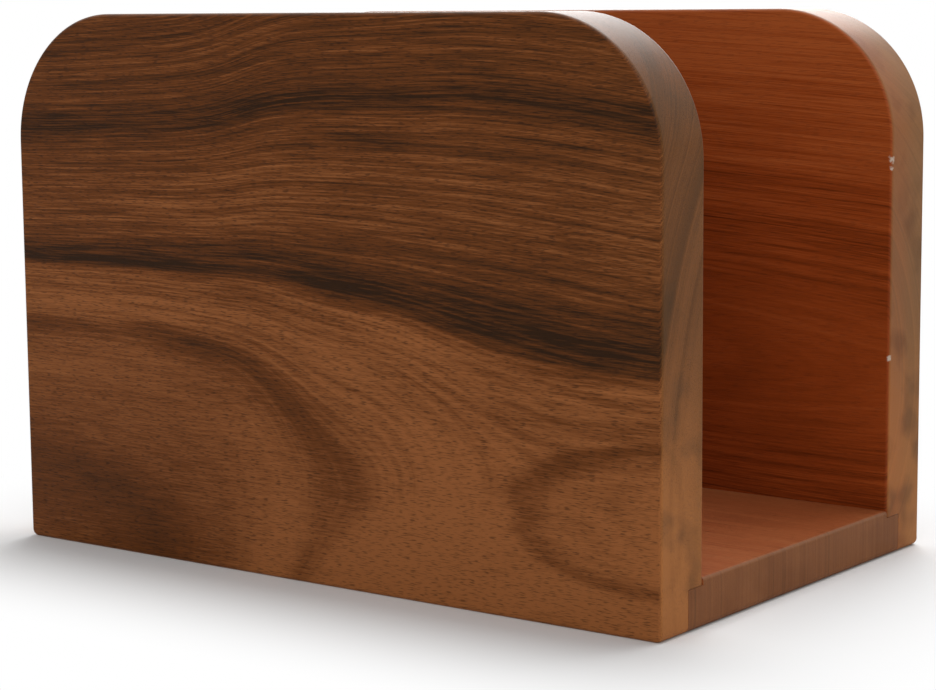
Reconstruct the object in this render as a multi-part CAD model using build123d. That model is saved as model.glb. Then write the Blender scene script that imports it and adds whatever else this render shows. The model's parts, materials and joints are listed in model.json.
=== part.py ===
"""Napkin holder in oiled hardwood.

Two upright panels stand along the long edges of a base board, and a stack of
napkins stands on edge in the slot between them. Each panel has a rabbet along
its lower inside edge. The base board's tongue is glued into it, and a row of
fluted dowels across the joint keeps the boards in line.

Millimetres. X runs along the slot, Y from the front panel to the back panel,
and Z is up. The origin is in the middle of the underside, on the table.
"""

from build123d import *
import os

# ------------------------------------------------------------------ sizes
# The whole holder
HOLDER_LENGTH = 170.0
HOLDER_HEIGHT = 118.0
SLOT_WIDTH = 76.0  # between the panels' inside faces

# The boards
PANEL_THICKNESS = 15.0
BASE_THICKNESS = 10.0
TOP_CORNER_RADIUS = 28.0
BOTTOM_CORNER_RADIUS = 1.5
EASED_EDGE = 0.8  # radius sanded on every edge that a hand meets

# The long joint between the base board and a panel
TONGUE_LENGTH = 5.3  # how far the base reaches under the panel's inside face
TONGUE_THICKNESS = 8.5
GLUE_LINE = 0.1  # between the joined faces

# The dowels across that joint
DOWEL_DIAMETER = 5.0
DOWEL_LENGTH = 20.0
DOWEL_IN_PANEL = 6.0
DOWEL_END_CHAMFER = 0.5
DOWEL_END_INSET = 25.0  # from a board's end to the outermost dowel
DOWEL_PLACES = ("left", "middle", "right")
FLUTE_COUNT = 10
FLUTE_DEPTH = 0.35
HOLE_CLEARANCE = 0.05  # round the dowel
HOLE_END_ROOM = 1.0  # past each end of the dowel, for spare glue

# ----------------------------------------------------- worked out from them
PANEL_INSIDE = SLOT_WIDTH / 2
TONGUE_TIP = PANEL_INSIDE + TONGUE_LENGTH
RABBET_WALL = TONGUE_TIP + GLUE_LINE
RABBET_HEIGHT = TONGUE_THICKNESS + GLUE_LINE
DOWEL_AXIS_HEIGHT = TONGUE_THICKNESS / 2
DOWEL_OUTER_END = RABBET_WALL + DOWEL_IN_PANEL
DOWEL_INNER_END = DOWEL_OUTER_END - DOWEL_LENGTH
HOLE_RADIUS = DOWEL_DIAMETER / 2 + HOLE_CLEARANCE


def dowel_stations():
    """Each dowel's place name and its X along the joint."""
    first = DOWEL_END_INSET - HOLDER_LENGTH / 2
    spacing = -2 * first / (len(DOWEL_PLACES) - 1)
    return [(place, first + index * spacing) for index, place in enumerate(DOWEL_PLACES)]


def rod_along_y(radius, y_start, y_end, x):
    """A plain round rod at the dowels' height, between two Y values."""
    middle = Location((x, (y_start + y_end) / 2, DOWEL_AXIS_HEIGHT), (90, 0, 0))
    return middle * Cylinder(radius, abs(y_end - y_start))


# ----------------------------------------------------------------- boards
def panel_outline():
    """The panel seen from the front: square at the foot, well rounded at the top."""
    board = Pos(0, HOLDER_HEIGHT / 2) * Rectangle(HOLDER_LENGTH, HOLDER_HEIGHT)
    board = fillet(board.vertices().group_by(Axis.Y)[-1], TOP_CORNER_RADIUS)
    return fillet(board.vertices().group_by(Axis.Y)[0], BOTTOM_CORNER_RADIUS)


def panel(side):
    """An upright panel. side is -1 for the front one and +1 for the back one."""
    outline = Plane.XZ * panel_outline()
    board = extrude(outline, PANEL_THICKNESS, dir=(0, 1, 0))
    faces = board.faces().sort_by(Axis.Y)
    board = fillet(faces[0].edges() + faces[-1].edges(), EASED_EDGE)
    board = Pos(0, PANEL_INSIDE, 0) * board

    rabbet = Box(
        HOLDER_LENGTH,
        RABBET_WALL - PANEL_INSIDE,
        RABBET_HEIGHT,
        align=(Align.CENTER, Align.MIN, Align.MIN),
    )
    board -= Pos(0, PANEL_INSIDE, 0) * rabbet
    for _, x in dowel_stations():
        board -= rod_along_y(HOLE_RADIUS, PANEL_INSIDE, DOWEL_OUTER_END + HOLE_END_ROOM, x)
    return board if side > 0 else mirror(board, Plane.XZ)


def base_section():
    """The base board seen from its end, with a tongue along each long edge."""
    shoulder = PANEL_INSIDE - GLUE_LINE
    right_half = [
        (TONGUE_TIP, 0),
        (TONGUE_TIP, TONGUE_THICKNESS),
        (shoulder, TONGUE_THICKNESS),
        (shoulder, BASE_THICKNESS),
    ]
    left_half = [(-y, z) for y, z in reversed(right_half)]
    return make_face(Polyline(*right_half, *left_half, close=True))


def base():
    """The base board, with the dowel holes in both of its long edges."""
    board = extrude(Plane.YZ * base_section(), HOLDER_LENGTH / 2, both=True)
    ends = board.faces().filter_by(Axis.X)
    top_end_edges = ends.edges().group_by(Axis.Z)[-1]
    board = fillet(top_end_edges, EASED_EDGE)
    ends = board.faces().filter_by(Axis.X)
    foot_end_edges = ends.edges().group_by(Axis.Z)[0]
    board = fillet(foot_end_edges, BOTTOM_CORNER_RADIUS)
    for _, x in dowel_stations():
        for side in (-1, 1):
            hole_bottom = DOWEL_INNER_END - HOLE_END_ROOM
            board -= rod_along_y(HOLE_RADIUS, side * hole_bottom, side * TONGUE_TIP, x)
    return board


# ----------------------------------------------------------------- dowels
def dowel(side, x):
    """A dowel with V flutes and chamfered ends, lying across the joint."""
    rod = Cylinder(DOWEL_DIAMETER / 2, DOWEL_LENGTH)
    rod = chamfer(rod.edges().filter_by(GeomType.CIRCLE), DOWEL_END_CHAMFER)
    flute_side = FLUTE_DEPTH * 2**0.5
    flute = Rot(0, 0, 45) * Box(flute_side, flute_side, DOWEL_LENGTH)
    for place in PolarLocations(DOWEL_DIAMETER / 2, FLUTE_COUNT):
        rod -= place * flute
    middle = side * (DOWEL_INNER_END + DOWEL_OUTER_END) / 2
    return Location((x, middle, DOWEL_AXIS_HEIGHT), (90, 0, 0)) * rod


# --------------------------------------------------------------- assembly
def build():
    """Every node of the holder by name."""
    nodes = {
        "front_panel": panel(-1),
        "back_panel": panel(+1),
        "base_board": base(),
    }
    for joint, side in (("front", -1), ("back", 1)):
        for place, x in dowel_stations():
            nodes[f"dowel_{joint}_{place}"] = dowel(side, x)
    return nodes


os.makedirs("parts", exist_ok=True)
for name, solid in build().items():
    export_step(solid, f"parts/{name}.step")
    size = solid.bounding_box().size
    print(f"{name}: {size.X:.1f} x {size.Y:.1f} x {size.Z:.1f} mm, {solid.volume / 1000:.2f} cm3")
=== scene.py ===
"""Napkin holder of three oiled acacia boards, dressed for a studio picture.

Metres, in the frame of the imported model: X along the slot and the grain, Y
from the front panel to the back panel, Z up, and the table at Z = 0.
"""

import json
import math

import bmesh
import bpy
from mathutils import Matrix, Vector

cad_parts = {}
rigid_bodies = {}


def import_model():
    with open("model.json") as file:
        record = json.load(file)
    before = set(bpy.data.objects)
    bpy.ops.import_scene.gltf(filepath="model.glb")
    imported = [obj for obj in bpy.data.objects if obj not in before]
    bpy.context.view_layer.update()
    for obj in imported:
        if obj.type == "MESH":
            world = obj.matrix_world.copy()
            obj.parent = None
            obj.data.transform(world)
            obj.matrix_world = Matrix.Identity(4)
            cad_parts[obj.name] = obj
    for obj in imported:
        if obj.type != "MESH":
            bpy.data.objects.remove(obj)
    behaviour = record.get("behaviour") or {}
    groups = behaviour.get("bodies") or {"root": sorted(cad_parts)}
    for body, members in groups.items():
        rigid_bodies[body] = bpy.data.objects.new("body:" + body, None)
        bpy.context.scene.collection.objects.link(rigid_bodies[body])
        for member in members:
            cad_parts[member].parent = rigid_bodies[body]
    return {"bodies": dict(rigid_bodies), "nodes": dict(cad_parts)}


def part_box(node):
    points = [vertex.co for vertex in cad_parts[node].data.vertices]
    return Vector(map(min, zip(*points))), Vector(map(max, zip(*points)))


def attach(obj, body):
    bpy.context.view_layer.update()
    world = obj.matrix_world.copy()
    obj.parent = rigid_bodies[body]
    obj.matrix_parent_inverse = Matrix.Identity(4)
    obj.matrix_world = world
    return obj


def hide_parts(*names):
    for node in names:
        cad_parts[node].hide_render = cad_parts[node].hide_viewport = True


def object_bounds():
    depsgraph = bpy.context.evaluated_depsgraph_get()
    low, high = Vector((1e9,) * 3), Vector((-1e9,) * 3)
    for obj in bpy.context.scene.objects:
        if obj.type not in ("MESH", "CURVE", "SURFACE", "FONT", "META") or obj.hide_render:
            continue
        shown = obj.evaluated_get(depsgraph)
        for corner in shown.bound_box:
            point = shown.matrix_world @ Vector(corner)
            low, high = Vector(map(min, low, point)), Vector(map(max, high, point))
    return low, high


bl_info = {
    "name": "Napkin holder",
    "version": (1, 0, 0),
    "blender": (4, 5, 0),
    "location": "3D View > Sidebar > Napkin holder",
    "description": "Builds a napkin holder of oiled acacia boards and the studio round it",
    "category": "Object",
}

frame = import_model()
CAD_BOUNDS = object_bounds()
BODY = next(iter(frame["bodies"]))
NODES = frame["nodes"]

MM = 0.001
FRONT_LOW, FRONT_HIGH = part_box("front_panel")
BACK_LOW, BACK_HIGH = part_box("back_panel")
BASE_LOW, BASE_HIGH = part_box("base_board")
DOWELS = sorted(name for name in NODES if name.startswith("dowel_"))
SEAM = 0.1 * MM  # glue line between the joined boards
RABBET_HEIGHT = 8.6 * MM
SPARE = 2 * MM  # how far a cutter runs past the wood it cuts
HOLE_CLEARANCE = 0.05 * MM  # round a dowel in its hole
HOLE_END_ROOM = 1 * MM  # past each end of a dowel
HOLE_SIDES = 32
SMOOTH_ANGLE = math.radians(32)  # edges flatter than this are shaded smooth
FLAT_WEIGHT = 100  # how firmly a board's flat faces set the shading beside them


# ------------------------------------------------------------ sizes, colours
def hex_to_linear(code):
    """An sRGB colour such as "8a5a33" as linear red, green, blue and alpha."""
    channels = [int(code[i:i + 2], 16) / 255 for i in (0, 2, 4)]
    linear = [c / 12.92 if c <= 0.04045 else ((c + 0.055) / 1.055) ** 2.4 for c in channels]
    return (*linear, 1.0)


def colour_property(name, description, code):
    """A colour that the user can change, with its default from an sRGB hex code."""
    return bpy.props.FloatVectorProperty(
        name=name, description=description, subtype="COLOR", size=4, min=0, max=1,
        default=hex_to_linear(code),
    )


def length_property(name, description, millimetres):
    """A length that the user can change, with its default in millimetres."""
    return bpy.props.FloatProperty(
        name=name, description=description, unit="LENGTH", min=0, precision=4,
        default=millimetres * MM,
    )


class HolderSizes(bpy.types.PropertyGroup):
    """How the boards are shaped."""

    top_corner: length_property("Top corner", "Radius of a panel's top corners", 28)
    foot_corner: length_property("Foot corner", "Radius of the corners on the table", 1.5)
    eased_edge: length_property("Eased edge", "Radius sanded on the long edges", 0.8)
    corner_steps: bpy.props.IntProperty(
        name="Corner steps", description="Segments in a top corner's arc", default=40, min=8)
    edge_steps: bpy.props.IntProperty(
        name="Edge steps", description="Segments across an eased edge", default=4, min=1)


class HolderColours(bpy.types.PropertyGroup):
    """The boards' wood colours, from the palest rings to the darkest streaks."""

    front_pale: colour_property("Front, pale", "Lightest rings of the front panel", "905830")
    front_middle: colour_property("Front, middle", "Most of the front panel", "643717")
    front_dark: colour_property("Front, dark", "Heartwood streaks of the front panel", "2e1b0b")
    # The back colours are partly the wood's own red and partly painted warm light bounced about the
    # slot that the back panel's inner side faces.
    back_pale: colour_property("Back, pale", "Lightest rings of the back panel", "a05024")
    back_middle: colour_property("Back, middle", "Most of the back panel", "863a15")
    back_dark: colour_property("Back, dark", "Heartwood streaks of the back panel", "4a1b06")
    base_pale: colour_property("Base, pale", "Lightest rings of the base board", "a8663c")
    base_middle: colour_property("Base, middle", "Most of the base board", "944c26")
    base_dark: colour_property("Base, dark", "Heartwood streaks of the base board", "472415")
    pore: colour_property("Pores", "Open pores filled with oil", "24140b")
    # The end colours also lie on a panel's top edge, round corners and eased arrises, where their
    # lighter tan is painted sheen.
    front_end: colour_property("Front, end", "Sawn ends and edges of the front panel", "6a4727")
    front_end_foot: colour_property("Front, end, foot", "The same near the table", "b27440")
    back_end: colour_property("Back, end", "Sawn ends and edges of the back panel", "8a6642")
    back_end_foot: colour_property("Back, end, foot", "The same near the table", "b07642")
    base_end: colour_property("Base, end", "Sawn ends of the base board", "6e5236")
    base_end_foot: colour_property("Base, end, foot", "The same near the table", "6c5034")
    smudge: colour_property("Smudges", "Darker patches on the sawn ends and edges", "4a3a24")
    # knocked spots: bare wood, whitened partly by a painted glint
    knock_and_glint: colour_property("Knocks", "Bare wood where an edge has been knocked", "b8a595")
    beech: colour_property("Beech", "Bare dowels", "c9a273")
    beech_fleck: colour_property("Beech flecks", "Darker flecks on the dowels", "a97c4e")
    floor: colour_property("Floor", "Studio floor", "e6e6e6")


# ------------------------------------------------------------------- shaping
def pick(board, kind, test):
    """In edit mode, selects only the vertices, edges or faces whose corners all pass the test."""
    bpy.ops.mesh.select_mode(type=kind)
    mesh = bmesh.from_edit_mesh(board.data)
    for face in mesh.faces:
        face.select_set(False)
    for edge in mesh.edges:
        edge.select_set(False)
    for vertex in mesh.verts:
        vertex.select_set(False)
    for element in {"VERT": mesh.verts, "EDGE": mesh.edges, "FACE": mesh.faces}[kind]:
        points = [element.co] if kind == "VERT" else [v.co for v in element.verts]
        if all(test(point) for point in points):
            element.select_set(True)
    mesh.select_flush_mode()
    bmesh.update_edit_mesh(board.data)


def box_piece(name, low, high):
    """A plain block between two corners, its place in its mesh."""
    bpy.ops.object.select_all(action="DESELECT")
    low, high = Vector(low), Vector(high)
    bpy.ops.mesh.primitive_cube_add(size=1, location=(low + high) / 2)
    bpy.ops.transform.resize(value=high - low)
    bpy.ops.object.transform_apply(location=True, rotation=True, scale=True)
    block = bpy.context.object
    block.name = block.data.name = name
    return block


def cut(board, cutter):
    """Takes the cutter out of the board and deletes the cutter."""
    bpy.ops.object.select_all(action="DESELECT")
    bpy.context.view_layer.objects.active = board
    board.select_set(True)
    bpy.ops.object.modifier_add(type="BOOLEAN")
    saw = board.modifiers[-1]
    saw.object = cutter
    saw.operation = "DIFFERENCE"
    saw.solver = "EXACT"
    bpy.ops.object.modifier_apply(modifier=saw.name)
    bpy.data.objects.remove(cutter)


def drill_for_dowels(board):
    """Bores the blind holes that the dowels lie in, from the dowels' own boxes."""
    for node in DOWELS:
        low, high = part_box(node)
        radius = (high.z - low.z) / 2 + HOLE_CLEARANCE
        bpy.ops.object.select_all(action="DESELECT")
        bpy.ops.mesh.primitive_cylinder_add(
            vertices=HOLE_SIDES, radius=radius, depth=high.y - low.y + 2 * HOLE_END_ROOM,
            location=(low + high) / 2, rotation=(math.pi / 2, 0, 0))
        bpy.ops.object.transform_apply(location=True, rotation=True, scale=True)
        cut(board, bpy.context.object)


def finish_board(board, node, material):
    """Smooths the eased edges, keeps the flats flat and puts the board in place of its node."""
    bpy.ops.object.select_all(action="DESELECT")
    bpy.context.view_layer.objects.active = board
    board.select_set(True)
    bpy.ops.object.shade_smooth_by_angle(angle=SMOOTH_ANGLE)
    bpy.ops.object.modifier_add(type="WEIGHTED_NORMAL")
    flats = board.modifiers[-1]
    flats.weight = FLAT_WEIGHT
    flats.keep_sharp = True
    bpy.ops.object.modifier_apply(modifier=flats.name)
    board.data.materials.clear()
    board.data.materials.append(material)
    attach(board, BODY)
    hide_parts(node)


def panel_board(name, low, high, rabbet_low, rabbet_high):
    """An upright panel: an outline with round corners, thickened, eased, and rabbeted."""
    sizes = bpy.context.scene.holder_sizes
    bpy.ops.object.select_all(action="DESELECT")
    middle = Vector(((low.x + high.x) / 2, low.y, (low.z + high.z) / 2))
    bpy.ops.mesh.primitive_plane_add(size=1, location=middle, rotation=(math.pi / 2, 0, 0))
    bpy.ops.transform.resize(value=(high.x - low.x, 1, high.z - low.z))
    bpy.ops.object.transform_apply(location=True, rotation=True, scale=True)
    board = bpy.context.object
    board.name = board.data.name = name

    bpy.ops.object.mode_set(mode="EDIT")
    pick(board, "VERT", lambda p: p.z > middle.z)
    bpy.ops.mesh.bevel(offset=sizes.top_corner, segments=sizes.corner_steps, affect="VERTICES")
    pick(board, "VERT", lambda p: p.z < low.z + SEAM)
    bpy.ops.mesh.bevel(offset=sizes.foot_corner, segments=sizes.edge_steps, affect="VERTICES")
    pick(board, "FACE", lambda p: True)
    bpy.ops.mesh.extrude_region_move(TRANSFORM_OT_translate={"value": (0, high.y - low.y, 0)})
    pick(board, "FACE", lambda p: True)
    bpy.ops.mesh.normals_make_consistent(inside=False)
    for face_y in (low.y, high.y):
        pick(board, "EDGE", lambda p: abs(p.y - face_y) < SEAM)
        bpy.ops.mesh.bevel(offset=sizes.eased_edge, segments=sizes.edge_steps, affect="EDGES")
    bpy.ops.object.mode_set(mode="OBJECT")

    cut(board, box_piece("rabbet_cutter", rabbet_low, rabbet_high))
    drill_for_dowels(board)
    return board


def base_block():
    """The base board: its end edges eased, a tongue left along each long edge."""
    sizes = bpy.context.scene.holder_sizes
    board = box_piece("base_wood", BASE_LOW, BASE_HIGH)
    bpy.ops.object.mode_set(mode="EDIT")
    for end_x in (BASE_LOW.x, BASE_HIGH.x):
        for edge_z, radius in ((BASE_HIGH.z, sizes.eased_edge), (BASE_LOW.z, sizes.foot_corner)):
            pick(board, "EDGE", lambda p: abs(p.x - end_x) < SEAM and abs(p.z - edge_z) < SEAM)
            bpy.ops.mesh.bevel(offset=radius, segments=sizes.edge_steps, affect="EDGES")
    bpy.ops.object.mode_set(mode="OBJECT")

    tongue_top = RABBET_HEIGHT - SEAM
    for low_y, high_y in (
        (BASE_LOW.y - SPARE, FRONT_HIGH.y + SEAM),
        (BACK_LOW.y - SEAM, BASE_HIGH.y + SPARE),
    ):
        shoulder = box_piece(
            "shoulder_cutter",
            (BASE_LOW.x - SPARE, low_y, tongue_top),
            (BASE_HIGH.x + SPARE, high_y, BASE_HIGH.z + SPARE))
        cut(board, shoulder)
    drill_for_dowels(board)
    return board


# ----------------------------------------------------------------- materials
def add(tree, kind, feeds=None, **settings):
    """Adds one shader node, with its settings, and with what feeds each of its inputs."""
    node = tree.nodes.new(kind)
    for name, value in settings.items():
        setattr(node, name, value)
    for socket, value in (feeds or {}).items():
        if isinstance(value, bpy.types.NodeSocket):
            tree.links.new(value, node.inputs[socket])
        else:
            node.inputs[socket].default_value = value
    return node


def new_material(name):
    """A material with its shader and output in place, and its node tree."""
    material = bpy.data.materials.new(name)
    material.use_nodes = True
    tree = material.node_tree
    tree.nodes.clear()
    shader = add(tree, "ShaderNodeBsdfPrincipled")
    add(tree, "ShaderNodeOutputMaterial", {"Surface": shader.outputs["BSDF"]})
    return material, tree, shader


# All places and lengths in the wood are in millimetres.

# Where the middle of the tree lay from each board: its height and its Y, at
# places along the board. The figure on the faces and the rings on the ends
# both follow from it.
HEART = {
    "front": {
        "height": (
            (-85, -1.4), (-55, 0.5), (-30, 5.7), (-5, 18.4), (20, 22.6), (46, 26.3), (85, 22.4)),
        "y": (
            (-85, 54.1), (-55, 54.9), (-30, 57.9), (-5, 64), (20, 66.3), (46, 68.6), (85, 68.8)),
    },
    "back": {
        "height": ((-85, 50), (0, 44), (85, 39)),
        "y": ((-85, 1), (0, 4), (85, 3)),
    },
    "base": {
        "height": ((-85, 8), (0, 3), (85, 5)),
        "y": ((-85, -84), (0, -80), (85, -82)),
    },
}
HEART_RANGE = (-100, 100)  # the heights and Ys above lie within it
ALONG_RANGE = (-90, 90)  # places along a board lie within it

# The rings bend a little, as real ones do: the length and width of each bend,
# its noise detail, and how far it moves a ring.
RING_BENDS = ((110, 40, 1, 0.5), (34, 6, 2, 0.1))

# How light the wood is at each distance from the heart: 0 is the dark colour,
# 0.5 the middle one and 1 the pale one.
RING_TONES = {
    "front": (
        (104, 0.8), (106.5, 0.6), (108.5, 0.3), (110.5, 0.6), (114, 0.78), (117.2, 0.68),
        (118.2, 0.38), (119.2, 0.7), (120.5, 0.86), (121.8, 0.8), (122.8, 0.72), (123.5, 0.76),
        (124.3, 0.68), (125.1, 0.24), (125.7, 0), (126.7, 0.12), (128, 0.44), (131, 0.58),
        (137, 0.5), (141, 0.42), (143.4, 0.1), (145.4, 0.36), (150, 0.42), (160, 0.36)),
    "back": (
        (34, 0.46), (38, 0.4), (42, 0.5), (45, 0.3), (48, 0.54), (53, 0.44), (57, 0.68),
        (62, 0.62), (70, 0.8), (84, 0.9)),
    "base": ((30, 0.35), (38, 0.5), (60, 0.62), (90, 0.5), (118, 0.66), (128, 0.5)),
}

# Streaks follow the rings, and the other marks run straight along the grain:
# the length and width of each, and its noise detail.
STREAKS = {"broad": (150, 2.4, 2), "narrow": (80, 0.8, 3), "silk": (26, 0.22, 2)}
MARKS = {
    "hair": (7, 0.28, 2),
    "cloud": (45, 18, 1),
    "wobble": (30, 8, 1),
    "patch": (60, 11, 2),
    "pore": (1.8, 0.17, 0),
}
STREAK_ROUGHNESS = 0.6  # how strong the finer part of a streak's noise is

# How much the streaks, the clouds, the short dark fibres and the pores show
BROAD_SHOW = 0.4
NARROW_SHOW = 0.75
SILK_SHOW = 0.9
CLOUD_SHOW = 0.3
FIBRE_SHOW = {"front": 0.7, "back": 0.3, "base": 0.35}
PORE_SHOW = {"front": 0.5, "back": 0.16, "base": 0.2}
PORE_NOISE = (0.58, 0.72)  # where a pore starts and where it is fully open

# Where the saw ran flat along the rings the fine streaks fade into a calm, even
# face. They come in between these heights, and these distances from the heart.
CALM = {
    "front": (("height", 16, 46), ("distance", 116.5, 119.5)),
    "back": (("distance", 34, 44),),
    "base": (),
}
CALM_SHOW = 0.25  # how much of the streaks is left on a calm face

# A side branch starts under the right end of the front face, and a soft dark
# line runs round it: its middle, its reach each way, how bent and how dark it
# is, and where it starts, peaks and ends as a share of its reach.
BRANCH_MIDDLE = (85, -53, 22.7)
BRANCH_REACH = (39, 9, 16.4)
BRANCH_BEND = 0.25
BRANCH_DARKER = 0.3
BRANCH_LINE = (0.62, 0.86, 1.0)

# The front face is lighter near the table, right of the arch of its rings: how
# much, between which heights it fades, and between which distances it comes in.
FOOT_LIGHTER = 0.3
FOOT_HEIGHTS = (6, 38)
FOOT_RINGS = (112, 116)

# The back panel turns from the red-brown of its inner side, partly its own wood and
# partly painted warm light bounced about the slot, to the front panel's brown between these two Ys.
OUTER_SIDE = (41, 50)

# Which way of the surface's facing tells a face from a sawn edge, and from
# where to where one turns into the other. On a panel the edge colour also covers
# the top edge, round corners and eased arrises, where its lighter tan is painted sheen.
EDGE_AND_SHEEN_FACING = {"front": ("Y", 0.9, 0.4), "back": ("Y", 0.9, 0.4), "base": ("X", 0.12, 0.65)}
EDGE_AND_SHEEN_SHOW = 0.6  # how much of the edge colour, sawn tan and painted sheen, covers the wood's
EDGE_HEIGHTS = (18, 62)  # the colour near the table gives way to the other one
PATCH_NOISE = (0.5, 0.66)  # where a smudge starts and where it is darkest
PATCH_SHOW = 0.55

# Small knocked spots on the boards' edges, bare wood with a painted glint: the place and the radius
KNOCKS_AND_GLINTS = {"back": (((84.9, 38.2, 86), 0.9), ((84.9, 38.1, 84.2), 0.6), ((84.9, 38.2, 43.4), 0.8))}
KNOCK_NOISE = 1.6  # ripples of its ragged edge in a millimetre
KNOCK_RAGGED = 2.4  # how far the edge strays, as a share of the radius
KNOCK_CORE = 0.4  # the part of the radius that is fully bare

# The surface: roughness, the depth of fibres and pores, and the film of oil
WOOD_ROUGHNESS = 0.46
RELIEF_STRENGTH = 0.35
RELIEF_DEPTH = 0.12 * MM
OIL_IOR = 1.46
FILM_SLOPE = 0.1  # the film stands on what looks up more than this
FILM_SHOW = 0.65
FILM_ROUGHNESS = 0.42
FACE_SPECULAR = 0.06  # the open grain scatters the rest


def along_board(tree, along, places):
    """A length in millimetres that changes smoothly along the board."""
    share = add(tree, "ShaderNodeMapRange", {
        "Value": along, "From Min": ALONG_RANGE[0], "From Max": ALONG_RANGE[1]})
    curve = add(tree, "ShaderNodeFloatCurve", {"Value": share.outputs["Result"]})
    points = curve.mapping.curves[0].points
    for index, (place, value) in enumerate(places):
        spot = (
            (place - ALONG_RANGE[0]) / (ALONG_RANGE[1] - ALONG_RANGE[0]),
            (value - HEART_RANGE[0]) / (HEART_RANGE[1] - HEART_RANGE[0]))
        if index == 0:
            points[0].location = spot
        elif index == len(places) - 1:
            points[-1].location = spot
        else:
            points.new(*spot)
    curve.mapping.update()
    length = add(tree, "ShaderNodeMapRange", {
        "Value": curve.outputs["Value"], "To Min": HEART_RANGE[0], "To Max": HEART_RANGE[1]})
    return length.outputs["Result"]


def grain_noise(tree, spot, length_mm, width_mm, detail):
    """Noise that is stretched along the grain."""
    stretched = add(tree, "ShaderNodeMapping", {
        "Vector": spot, "Scale": (1 / length_mm, 1 / width_mm, 1 / width_mm)})
    return add(tree, "ShaderNodeTexNoise", {
        "Vector": stretched.outputs["Vector"], "Scale": 1, "Detail": detail})


def ring_distance(tree, spot, board):
    """Distance from the heart of the tree in millimetres, a little bent as real rings are."""
    bends = []
    for length_mm, width_mm, detail, reach in RING_BENDS:
        bend = grain_noise(tree, spot, length_mm, width_mm, detail)
        centred = add(tree, "ShaderNodeVectorMath", {
            0: bend.outputs["Color"], 1: (0.5, 0.5, 0.5)}, operation="SUBTRACT")
        bends.append(add(tree, "ShaderNodeVectorMath", {
            0: centred.outputs["Vector"], "Scale": 2 * reach}, operation="SCALE"))
    both = add(tree, "ShaderNodeVectorMath", {
        0: bends[0].outputs["Vector"], 1: bends[1].outputs["Vector"]}, operation="ADD")
    bent = add(tree, "ShaderNodeVectorMath", {
        0: spot, 1: both.outputs["Vector"]}, operation="ADD")
    parts = add(tree, "ShaderNodeSeparateXYZ", {"Vector": bent.outputs["Vector"]})
    heart = add(tree, "ShaderNodeCombineXYZ", {
        "X": parts.outputs["X"],
        "Y": along_board(tree, parts.outputs["X"], HEART[board]["y"]),
        "Z": along_board(tree, parts.outputs["X"], HEART[board]["height"])})
    distance = add(tree, "ShaderNodeVectorMath", {
        0: bent.outputs["Vector"], 1: heart.outputs["Vector"]}, operation="DISTANCE")
    return distance.outputs["Value"]


def ring_tones(tree, distance, board):
    """How light the rings leave the wood, from 0 to 1."""
    tones = RING_TONES[board]
    inmost, outmost = tones[0][0], tones[-1][0]
    share = add(tree, "ShaderNodeMapRange", {
        "Value": distance, "From Min": inmost, "From Max": outmost})
    ramp = add(tree, "ShaderNodeValToRGB", {"Fac": share.outputs["Result"]})
    stops = ramp.color_ramp.elements
    for radius, _ in tones[1:-1]:
        stops.new((radius - inmost) / (outmost - inmost))
    for stop, (_, tone) in zip(stops, tones):
        stop.color = (tone, tone, tone, 1)
    return ramp.outputs["Color"]


def streaks(tree, distance, along, name):
    """Streaks that follow the rings, from 0 to 1."""
    length_mm, width_mm, detail = STREAKS[name]
    across = add(tree, "ShaderNodeMath", {0: distance, 1: width_mm}, operation="DIVIDE")
    lengthways = add(tree, "ShaderNodeMath", {0: along, 1: length_mm}, operation="DIVIDE")
    plane = add(tree, "ShaderNodeCombineXYZ", {
        "X": lengthways.outputs["Value"], "Y": across.outputs["Value"]})
    lines = add(tree, "ShaderNodeTexNoise", {
        "Vector": plane.outputs["Vector"], "Scale": 1, "Detail": detail,
        "Roughness": STREAK_ROUGHNESS}, noise_dimensions="2D")
    return lines.outputs["Fac"]


def marks(tree, spot, name):
    """Marks that run along the grain whatever the rings do, from 0 to 1."""
    return grain_noise(tree, spot, *MARKS[name]).outputs["Fac"]


def weighed_sum(tree, start, terms):
    """start plus each (value from 0 to 1, weight) term, with the value taken about its middle."""
    total = start
    for value, weight in terms:
        centred = add(tree, "ShaderNodeMath", {0: value, 1: 0.5}, operation="SUBTRACT")
        step = add(tree, "ShaderNodeMath", {
            0: centred.outputs["Value"], 1: weight, 2: total}, operation="MULTIPLY_ADD")
        total = step.outputs["Value"]
    return total


def calmed(tree, lines, measures, board):
    """The fine streaks, faded where the board has a calm face."""
    for measure, calm_until, lively_from in CALM[board]:
        lively = add(tree, "ShaderNodeMapRange", {
            "Value": measures[measure], "From Min": calm_until, "From Max": lively_from,
            "To Min": CALM_SHOW})
        lines = add(tree, "ShaderNodeMath", {
            0: lines, 1: lively.outputs["Result"]}, operation="MULTIPLY").outputs["Value"]
    return lines


def branch_line(tree, spot):
    """1 on the soft line round the side branch, fading to 0 inside and outside it."""
    from_middle = add(tree, "ShaderNodeVectorMath", {
        0: spot, 1: BRANCH_MIDDLE}, operation="SUBTRACT")
    shares = add(tree, "ShaderNodeVectorMath", {
        0: from_middle.outputs["Vector"], 1: BRANCH_REACH}, operation="DIVIDE")
    away = add(tree, "ShaderNodeVectorMath", {0: shares.outputs["Vector"]}, operation="LENGTH")
    wobble = marks(tree, spot, "wobble")
    bent = weighed_sum(tree, away.outputs["Value"], ((wobble, BRANCH_BEND),))
    line = add(tree, "ShaderNodeValToRGB", {"Fac": bent})
    line.color_ramp.interpolation = "EASE"
    starts, peaks, ends = BRANCH_LINE
    stops = line.color_ramp.elements
    stops[0].position, stops[0].color = starts, (0, 0, 0, 1)
    stops[1].position, stops[1].color = peaks, (1, 1, 1, 1)
    stops.new(ends).color = (0, 0, 0, 1)
    return line.outputs["Color"]


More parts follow.
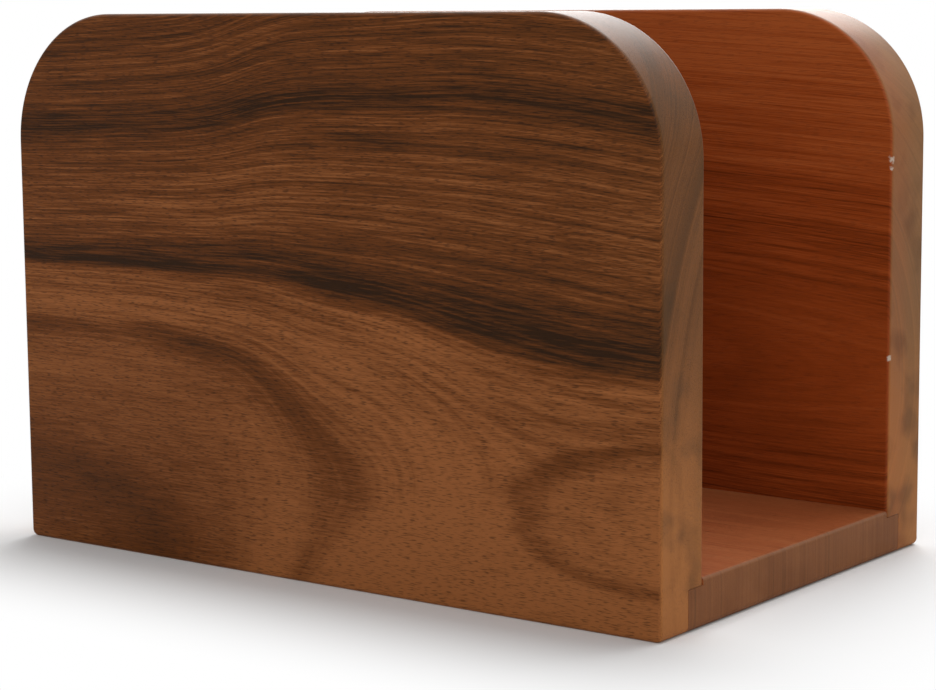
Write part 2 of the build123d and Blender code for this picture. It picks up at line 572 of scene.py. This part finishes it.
def front_tone(tree, tone, spot, distance, height_up):
    """The front face's tone, darker round its side branch and lighter near the table."""
    darker = add(tree, "ShaderNodeMath", {
        0: branch_line(tree, spot), 1: -BRANCH_DARKER, 2: tone}, operation="MULTIPLY_ADD")
    near_foot = add(tree, "ShaderNodeMapRange", {
        "Value": height_up, "From Min": FOOT_HEIGHTS[0], "From Max": FOOT_HEIGHTS[1],
        "To Min": FOOT_LIGHTER, "To Max": 0})
    outside_arch = add(tree, "ShaderNodeMapRange", {
        "Value": distance, "From Min": FOOT_RINGS[0], "From Max": FOOT_RINGS[1]})
    lighter = add(tree, "ShaderNodeMath", {
        0: near_foot.outputs["Result"], 1: outside_arch.outputs["Result"],
        2: darker.outputs["Value"]}, operation="MULTIPLY_ADD")
    return lighter.outputs["Value"]


def wood_colour(tree, tone, board):
    """The board's colour at each tone, from its dark streaks at 0 to its palest rings at 1."""
    wood = add(tree, "ShaderNodeValToRGB", {"Fac": tone})
    stops = wood.color_ramp.elements
    stops.new(0.5)
    for stop, shade in zip(stops, ("dark", "middle", "pale")):
        stop.color = getattr(bpy.context.scene.holder_colours, f"{board}_{shade}")
    return wood.outputs["Color"]


def edge_and_sheen_share(tree, facing, board):
    """1 on the board's sawn ends, and on a panel's edge all round, whose top edge, round corners
    and arrises carry painted sheen, and 0 on its faces.
    """
    axis, face_until, edge_from = EDGE_AND_SHEEN_FACING[board]
    turned = add(tree, "ShaderNodeMath", {0: facing.outputs[axis]}, operation="ABSOLUTE")
    share = add(tree, "ShaderNodeMapRange", {
        "Value": turned.outputs["Value"], "From Min": face_until, "From Max": edge_from},
        interpolation_type="SMOOTHSTEP")
    return share.outputs["Result"]


def edge_tan_and_sheen(tree, spot, height_up, board):
    """The tan of the sawn ends, of another shade near the table, with darker smudges. On a panel's
    top edge, round corners and arrises the same tan is painted sheen.
    """
    colours = bpy.context.scene.holder_colours
    up_share = add(tree, "ShaderNodeMapRange", {
        "Value": height_up, "From Min": EDGE_HEIGHTS[0], "From Max": EDGE_HEIGHTS[1]},
        interpolation_type="SMOOTHSTEP")
    plain = add(tree, "ShaderNodeMix", {
        "Factor": up_share.outputs["Result"], "A": getattr(colours, f"{board}_end_foot"),
        "B": getattr(colours, f"{board}_end")}, data_type="RGBA")
    patch_share = add(tree, "ShaderNodeMapRange", {
        "Value": marks(tree, spot, "patch"), "From Min": PATCH_NOISE[0],
        "From Max": PATCH_NOISE[1], "To Max": PATCH_SHOW})
    smudged = add(tree, "ShaderNodeMix", {
        "Factor": patch_share.outputs["Result"], "A": plain.outputs["Result"],
        "B": colours.smudge}, data_type="RGBA")
    return smudged.outputs["Result"]


def knocks(tree, spot, places):
    """1 in each of the places where an edge has been knocked bare and a glint is painted, and 0
    elsewhere.
    """
    total = 0.0
    ragged = add(tree, "ShaderNodeTexNoise", {"Vector": spot, "Scale": KNOCK_NOISE, "Detail": 2})
    for place, radius in places:
        away = add(tree, "ShaderNodeVectorMath", {0: spot, 1: place}, operation="DISTANCE")
        edge = weighed_sum(tree, away.outputs["Value"], (
            (ragged.outputs["Fac"], KNOCK_RAGGED * radius),))
        inside = add(tree, "ShaderNodeMapRange", {
            "Value": edge, "From Min": radius, "From Max": KNOCK_CORE * radius})
        total = add(tree, "ShaderNodeMath", {
            0: total, 1: inside.outputs["Result"]}, operation="MAXIMUM").outputs["Value"]
    return total


def oiled_acacia(board):
    """Planed and oiled acacia. The eye sees dark heart streaks that follow the rings, short
    dark pores along the grain, and a thin film of oil. The oil has sunk into the upright
    faces and leaves them nearly matt, and stands with a satin gloss on the rubbed edges and
    the other faces that look up. Sawn ends are tanner and duller; the same tan laid on a
    panel's top edge, round corners and eased arrises is painted sheen. The red of the back
    panel's inner side is partly painted warm light bounced about the slot, and the whitish
    colour of each knocked spot is partly a painted glint."""
    colours = bpy.context.scene.holder_colours
    material, tree, shader = new_material(f"oiled_acacia_{board}")
    where = add(tree, "ShaderNodeTexCoord")
    facing = add(tree, "ShaderNodeSeparateXYZ", {"Vector": where.outputs["Normal"]})
    in_mm = add(tree, "ShaderNodeMapping", {
        "Vector": where.outputs["Object"], "Scale": (1 / MM, 1 / MM, 1 / MM)})
    spot = in_mm.outputs["Vector"]
    along, inward, height_up = add(tree, "ShaderNodeSeparateXYZ", {"Vector": spot}).outputs
    distance = ring_distance(tree, spot, board)

    # the figure of rings, streaks and fibres
    broad = streaks(tree, distance, along, "broad")
    narrow = streaks(tree, distance, along, "narrow")
    silk = streaks(tree, distance, along, "silk")
    hair = marks(tree, spot, "hair")
    cloud = marks(tree, spot, "cloud")
    lines = weighed_sum(tree, 0.0, ((narrow, NARROW_SHOW), (silk, SILK_SHOW)))
    lines = calmed(tree, lines, {"height": height_up, "distance": distance}, board)
    lined = add(tree, "ShaderNodeMath", {0: lines, 1: ring_tones(tree, distance, board)})
    tone = weighed_sum(tree, lined.outputs["Value"], (
        (broad, BROAD_SHOW), (hair, FIBRE_SHOW[board]), (cloud, CLOUD_SHOW)))
    if board == "front":
        tone = front_tone(tree, tone, spot, distance, height_up)
    wood = wood_colour(tree, tone, board)
    # painted bounce light: the inner side keeps the redder colours, the outer side takes the
    # front's brown
    if board == "back":
        outer = add(tree, "ShaderNodeMapRange", {
            "Value": inward, "From Min": OUTER_SIDE[0], "From Max": OUTER_SIDE[1]},
            interpolation_type="SMOOTHSTEP")
        wood = add(tree, "ShaderNodeMix", {
            "Factor": outer.outputs["Result"], "A": wood, "B": wood_colour(tree, tone, "front")},
            data_type="RGBA").outputs["Result"]

    # the sawn ends with the edges' painted sheen, the pores, and the knocked spots with their
    # painted glint over it
    # painted sheen: the end tan also lies on the panels' top edges, round corners and arrises
    edge_and_sheen_mask = edge_and_sheen_share(tree, facing, board)
    edge_and_sheen_cover = add(tree, "ShaderNodeMath", {0: edge_and_sheen_mask, 1: EDGE_AND_SHEEN_SHOW}, operation="MULTIPLY")
    with_edges_and_sheen = add(tree, "ShaderNodeMix", {
        "Factor": edge_and_sheen_cover.outputs["Value"], "A": wood,
        "B": edge_tan_and_sheen(tree, spot, height_up, board)}, data_type="RGBA")
    pores = add(tree, "ShaderNodeMapRange", {
        "Value": marks(tree, spot, "pore"), "From Min": PORE_NOISE[0],
        "From Max": PORE_NOISE[1]}).outputs["Result"]
    pore_cover = add(tree, "ShaderNodeMath", {0: pores, 1: PORE_SHOW[board]}, operation="MULTIPLY")
    with_pores = add(tree, "ShaderNodeMix", {
        "Factor": pore_cover.outputs["Value"], "A": with_edges_and_sheen.outputs["Result"],
        "B": colours.pore}, data_type="RGBA")
    # painted glint: the whitish colour of the knocked spots
    with_knocks_and_glints = add(tree, "ShaderNodeMix", {
        "Factor": knocks(tree, spot, KNOCKS_AND_GLINTS.get(board, ())), "A": with_pores.outputs["Result"],
        "B": colours.knock_and_glint}, data_type="RGBA")

    # the surface
    height = weighed_sum(tree, 0.5, ((hair, 0.5), (pores, -1.0), (narrow, 0.3)))
    relief = add(tree, "ShaderNodeBump", {
        "Height": height, "Strength": RELIEF_STRENGTH, "Distance": RELIEF_DEPTH})
    rough = weighed_sum(tree, WOOD_ROUGHNESS, ((hair, 0.12), (edge_and_sheen_mask, 0.12), (pores, 0.1)))
    film = add(tree, "ShaderNodeMapRange", {
        "Value": facing.outputs["Z"], "From Min": FILM_SLOPE, "To Max": FILM_SHOW})
    tree.links.new(with_knocks_and_glints.outputs["Result"], shader.inputs["Base Color"])
    tree.links.new(rough, shader.inputs["Roughness"])
    tree.links.new(relief.outputs["Normal"], shader.inputs["Normal"])
    tree.links.new(film.outputs["Result"], shader.inputs["Coat Weight"])
    shader.inputs["Coat Roughness"].default_value = FILM_ROUGHNESS
    shader.inputs["Coat IOR"].default_value = OIL_IOR
    shader.inputs["IOR"].default_value = OIL_IOR
    shader.inputs["Specular IOR Level"].default_value = FACE_SPECULAR
    return material


FLECK_LENGTH = 4 * MM
FLECK_WIDTH = 0.4 * MM


def bare_beech():
    """Turned and fluted beech, left bare: pale, matt, with short flecks along the dowel."""
    colours = bpy.context.scene.holder_colours
    material, tree, shader = new_material("bare_beech")
    where = add(tree, "ShaderNodeTexCoord")
    flecked = add(tree, "ShaderNodeMapping", {
        "Vector": where.outputs["Object"],
        "Scale": (1 / FLECK_WIDTH, 1 / FLECK_LENGTH, 1 / FLECK_WIDTH)})
    flecks = add(tree, "ShaderNodeTexNoise", {"Vector": flecked.outputs["Vector"], "Scale": 1})
    tint = add(tree, "ShaderNodeMix", {
        "Factor": flecks.outputs["Fac"], "A": colours.beech_fleck, "B": colours.beech},
        data_type="RGBA")
    tree.links.new(tint.outputs["Result"], shader.inputs["Base Color"])
    shader.inputs["Roughness"].default_value = 0.7
    shader.inputs["IOR"].default_value = 1.5
    return material


FLOOR_SIZE = 8  # in metres
FLOOR_SHADOW_FADE = 58 * MM  # how far from the boards the floor has turned white; the grey within it is partly painted shadow


def matt_studio_floor():
    """Matt pale floor. It keeps the holder's shadow and fades into the white surround, but only
    away from the boards, so the grey round their foot is partly painted shadow.
    """
    material, tree, shader = new_material("matt_studio_floor")
    shader.inputs["Base Color"].default_value = bpy.context.scene.holder_colours.floor
    shader.inputs["Roughness"].default_value = 0.9
    shader.inputs["Specular IOR Level"].default_value = 0.1
    where = add(tree, "ShaderNodeTexCoord")
    mirrored = add(tree, "ShaderNodeVectorMath", {0: where.outputs["Object"]}, operation="ABSOLUTE")
    past = add(tree, "ShaderNodeVectorMath", {
        0: mirrored.outputs["Vector"], 1: (CAD_BOUNDS[1].x, CAD_BOUNDS[1].y, 0)},
        operation="SUBTRACT")
    outside = add(tree, "ShaderNodeVectorMath", {0: past.outputs["Vector"]}, operation="MAXIMUM")
    reach = add(tree, "ShaderNodeVectorMath", {0: outside.outputs["Vector"]}, operation="LENGTH")
    # painted shadow: the floor stays grey near the boards and turns white further off
    past_painted_shadow = add(tree, "ShaderNodeMapRange", {
        "Value": reach.outputs["Value"], "From Min": 0.0, "From Max": FLOOR_SHADOW_FADE},
        interpolation_type="SMOOTHSTEP")
    share = add(tree, "ShaderNodeMath", {
        0: past_painted_shadow.outputs["Result"], 1: seen_ray(tree)}, operation="MULTIPLY")
    white = add(tree, "ShaderNodeEmission", {"Color": (1, 1, 1, 1), "Strength": 1.0})
    faded = add(tree, "ShaderNodeMixShader", {
        0: share.outputs["Value"], 1: shader.outputs["BSDF"], 2: white.outputs["Emission"]})
    output = next(node for node in tree.nodes if node.type == "OUTPUT_MATERIAL")
    tree.links.new(faded.outputs["Shader"], output.inputs["Surface"])
    return material


def seen_ray(tree):
    """1 for a ray from the eye, a mirror or glass, and 0 for one that carries light."""
    ray = add(tree, "ShaderNodeLightPath")
    mirrored = add(tree, "ShaderNodeMath", {
        0: ray.outputs["Is Glossy Ray"], 1: ray.outputs["Is Transmission Ray"]},
        operation="MAXIMUM")
    seen = add(tree, "ShaderNodeMath", {
        0: ray.outputs["Is Camera Ray"], 1: mirrored.outputs["Value"]}, operation="MAXIMUM")
    return seen.outputs["Value"]


# ----------------------------------------------------------------- operators
class HOLDER_OT_front_panel(bpy.types.Operator):
    """Shape the front panel with its rabbet and dowel holes"""

    bl_idname = "holder.front_panel"
    bl_label = "Front panel"

    def execute(self, context):
        board = panel_board(
            "front_panel_wood", FRONT_LOW, FRONT_HIGH,
            (FRONT_LOW.x - SPARE, BASE_LOW.y - SEAM, FRONT_LOW.z - SPARE),
            (FRONT_HIGH.x + SPARE, FRONT_HIGH.y + SPARE, RABBET_HEIGHT))
        finish_board(board, "front_panel", oiled_acacia("front"))
        return {"FINISHED"}


class HOLDER_OT_back_panel(bpy.types.Operator):
    """Shape the back panel with its rabbet and dowel holes"""

    bl_idname = "holder.back_panel"
    bl_label = "Back panel"

    def execute(self, context):
        board = panel_board(
            "back_panel_wood", BACK_LOW, BACK_HIGH,
            (BACK_LOW.x - SPARE, BACK_LOW.y - SPARE, BACK_LOW.z - SPARE),
            (BACK_HIGH.x + SPARE, BASE_HIGH.y + SEAM, RABBET_HEIGHT))
        finish_board(board, "back_panel", oiled_acacia("back"))
        return {"FINISHED"}


class HOLDER_OT_base_board(bpy.types.Operator):
    """Shape the base board with its tongues and dowel holes"""

    bl_idname = "holder.base_board"
    bl_label = "Base board"

    def execute(self, context):
        finish_board(base_block(), "base_board", oiled_acacia("base"))
        return {"FINISHED"}


class HOLDER_OT_dowels(bpy.types.Operator):
    """Give the fluted dowels their bare beech"""

    bl_idname = "holder.dowels"
    bl_label = "Dowels"

    def execute(self, context):
        beech = bare_beech()
        for node in DOWELS:
            for slot in NODES[node].material_slots:
                slot.material = beech
        return {"FINISHED"}


# The photograph's camera, from the fit to the boards' corners and edges
CAMERA_PLACE = (0.32626, -0.43366, 0.11895)
CAMERA_AZIMUTH = math.radians(36.92)
CAMERA_PITCH = math.radians(7.84)
CAMERA_ROLL = math.radians(-0.46)
CAMERA_LENS = 94.5
CAMERA_SENSOR = 36.0

# Softboxes: name, place, size and power in watts
SOFTBOXES = (
    ("back", (-0.5, 1.1, 0.55), 0.8, 6.5),
    ("overhead", (0.0, 0.4, 1.25), 0.8, 11.0),
    ("front_fill", (0.75, -1.1, 0.55), 0.9, 6.0),
)

# How bright the white surround is where it lights the boards and where it is seen
SURROUND_LIGHT = 0.45
SURROUND_SEEN = 1.0


class HOLDER_OT_studio(bpy.types.Operator):
    """Set up the pale floor, the softboxes, the white surround and the camera"""

    bl_idname = "holder.studio"
    bl_label = "Studio"

    def execute(self, context):
        self.lay_floor(context)
        self.light_world(context)
        for name, place, size, power in SOFTBOXES:
            self.hang_softbox(context, name, Vector(place), size, power)
        self.place_camera(context)
        context.scene.view_settings.view_transform = "Standard"
        return {"FINISHED"}

    def lay_floor(self, context):
        """A wide flat floor on the table plane."""
        bpy.ops.object.select_all(action="DESELECT")
        bpy.ops.mesh.primitive_plane_add(size=FLOOR_SIZE)
        floor = context.object
        floor.name = "studio_floor"
        floor.data.materials.append(matt_studio_floor())

    def light_world(self, context):
        """White where it is seen or mirrored, softer where it lights the boards."""
        world = bpy.data.worlds.new("studio_surround")
        context.scene.world = world
        world.use_nodes = True
        tree = world.node_tree
        tree.nodes.clear()
        strength = add(tree, "ShaderNodeMapRange", {
            "Value": seen_ray(tree), "To Min": SURROUND_LIGHT, "To Max": SURROUND_SEEN})
        light = add(tree, "ShaderNodeBackground", {
            "Color": (1, 1, 1, 1), "Strength": strength.outputs["Result"]})
        add(tree, "ShaderNodeOutputWorld", {"Surface": light.outputs["Background"]})

    def hang_softbox(self, context, name, place, size, power):
        """A square softbox that faces the holder."""
        lamp = bpy.data.lights.new(name, "AREA")
        lamp.size = size
        lamp.energy = power
        box = bpy.data.objects.new(name, lamp)
        context.scene.collection.objects.link(box)
        box.location = place
        box.visible_camera = False
        middle = (CAD_BOUNDS[0] + CAD_BOUNDS[1]) / 2
        box.rotation_euler = (middle - place).to_track_quat("-Z", "Y").to_euler()

    def place_camera(self, context):
        """The photograph's viewpoint."""
        lens = bpy.data.cameras.new("photo_camera")
        lens.lens = CAMERA_LENS
        lens.sensor_width = CAMERA_SENSOR
        camera = bpy.data.objects.new("photo_camera", lens)
        context.scene.collection.objects.link(camera)
        back = Vector((
            math.sin(CAMERA_AZIMUTH) * math.cos(CAMERA_PITCH),
            -math.cos(CAMERA_AZIMUTH) * math.cos(CAMERA_PITCH),
            math.sin(CAMERA_PITCH)))
        right = (-back).cross(Vector((0, 0, 1))).normalized()
        up = right.cross(-back)
        turned = Matrix((right, up, back)).transposed() @ Matrix.Rotation(CAMERA_ROLL, 3, "Z")
        camera.rotation_mode = "QUATERNION"
        camera.rotation_quaternion = turned.to_quaternion()
        camera.location = CAMERA_PLACE
        context.scene.camera = camera


class HOLDER_PT_panel(bpy.types.Panel):
    """The holder's operators, sizes and colours in the sidebar"""

    bl_label = "Napkin holder"
    bl_idname = "HOLDER_PT_panel"
    bl_space_type = "VIEW_3D"
    bl_region_type = "UI"
    bl_category = "Napkin holder"

    def draw(self, context):
        for step in STEPS:
            self.layout.operator(step.bl_idname)
        for group in (context.scene.holder_sizes, context.scene.holder_colours):
            for name in group.__annotations__:
                self.layout.prop(group, name)


STEPS = (
    HOLDER_OT_front_panel,
    HOLDER_OT_back_panel,
    HOLDER_OT_base_board,
    HOLDER_OT_dowels,
    HOLDER_OT_studio,
)
CLASSES = (HolderSizes, HolderColours, *STEPS, HOLDER_PT_panel)


def register():
    for item in CLASSES:
        bpy.utils.register_class(item)
    bpy.types.Scene.holder_sizes = bpy.props.PointerProperty(type=HolderSizes)
    bpy.types.Scene.holder_colours = bpy.props.PointerProperty(type=HolderColours)


def unregister():
    del bpy.types.Scene.holder_sizes
    del bpy.types.Scene.holder_colours
    for item in reversed(CLASSES):
        bpy.utils.unregister_class(item)


def main():
    register()
    bpy.ops.holder.front_panel()
    bpy.ops.holder.back_panel()
    bpy.ops.holder.base_board()
    bpy.ops.holder.dowels()
    bpy.ops.holder.studio()


if __name__ == "__main__":
    main()
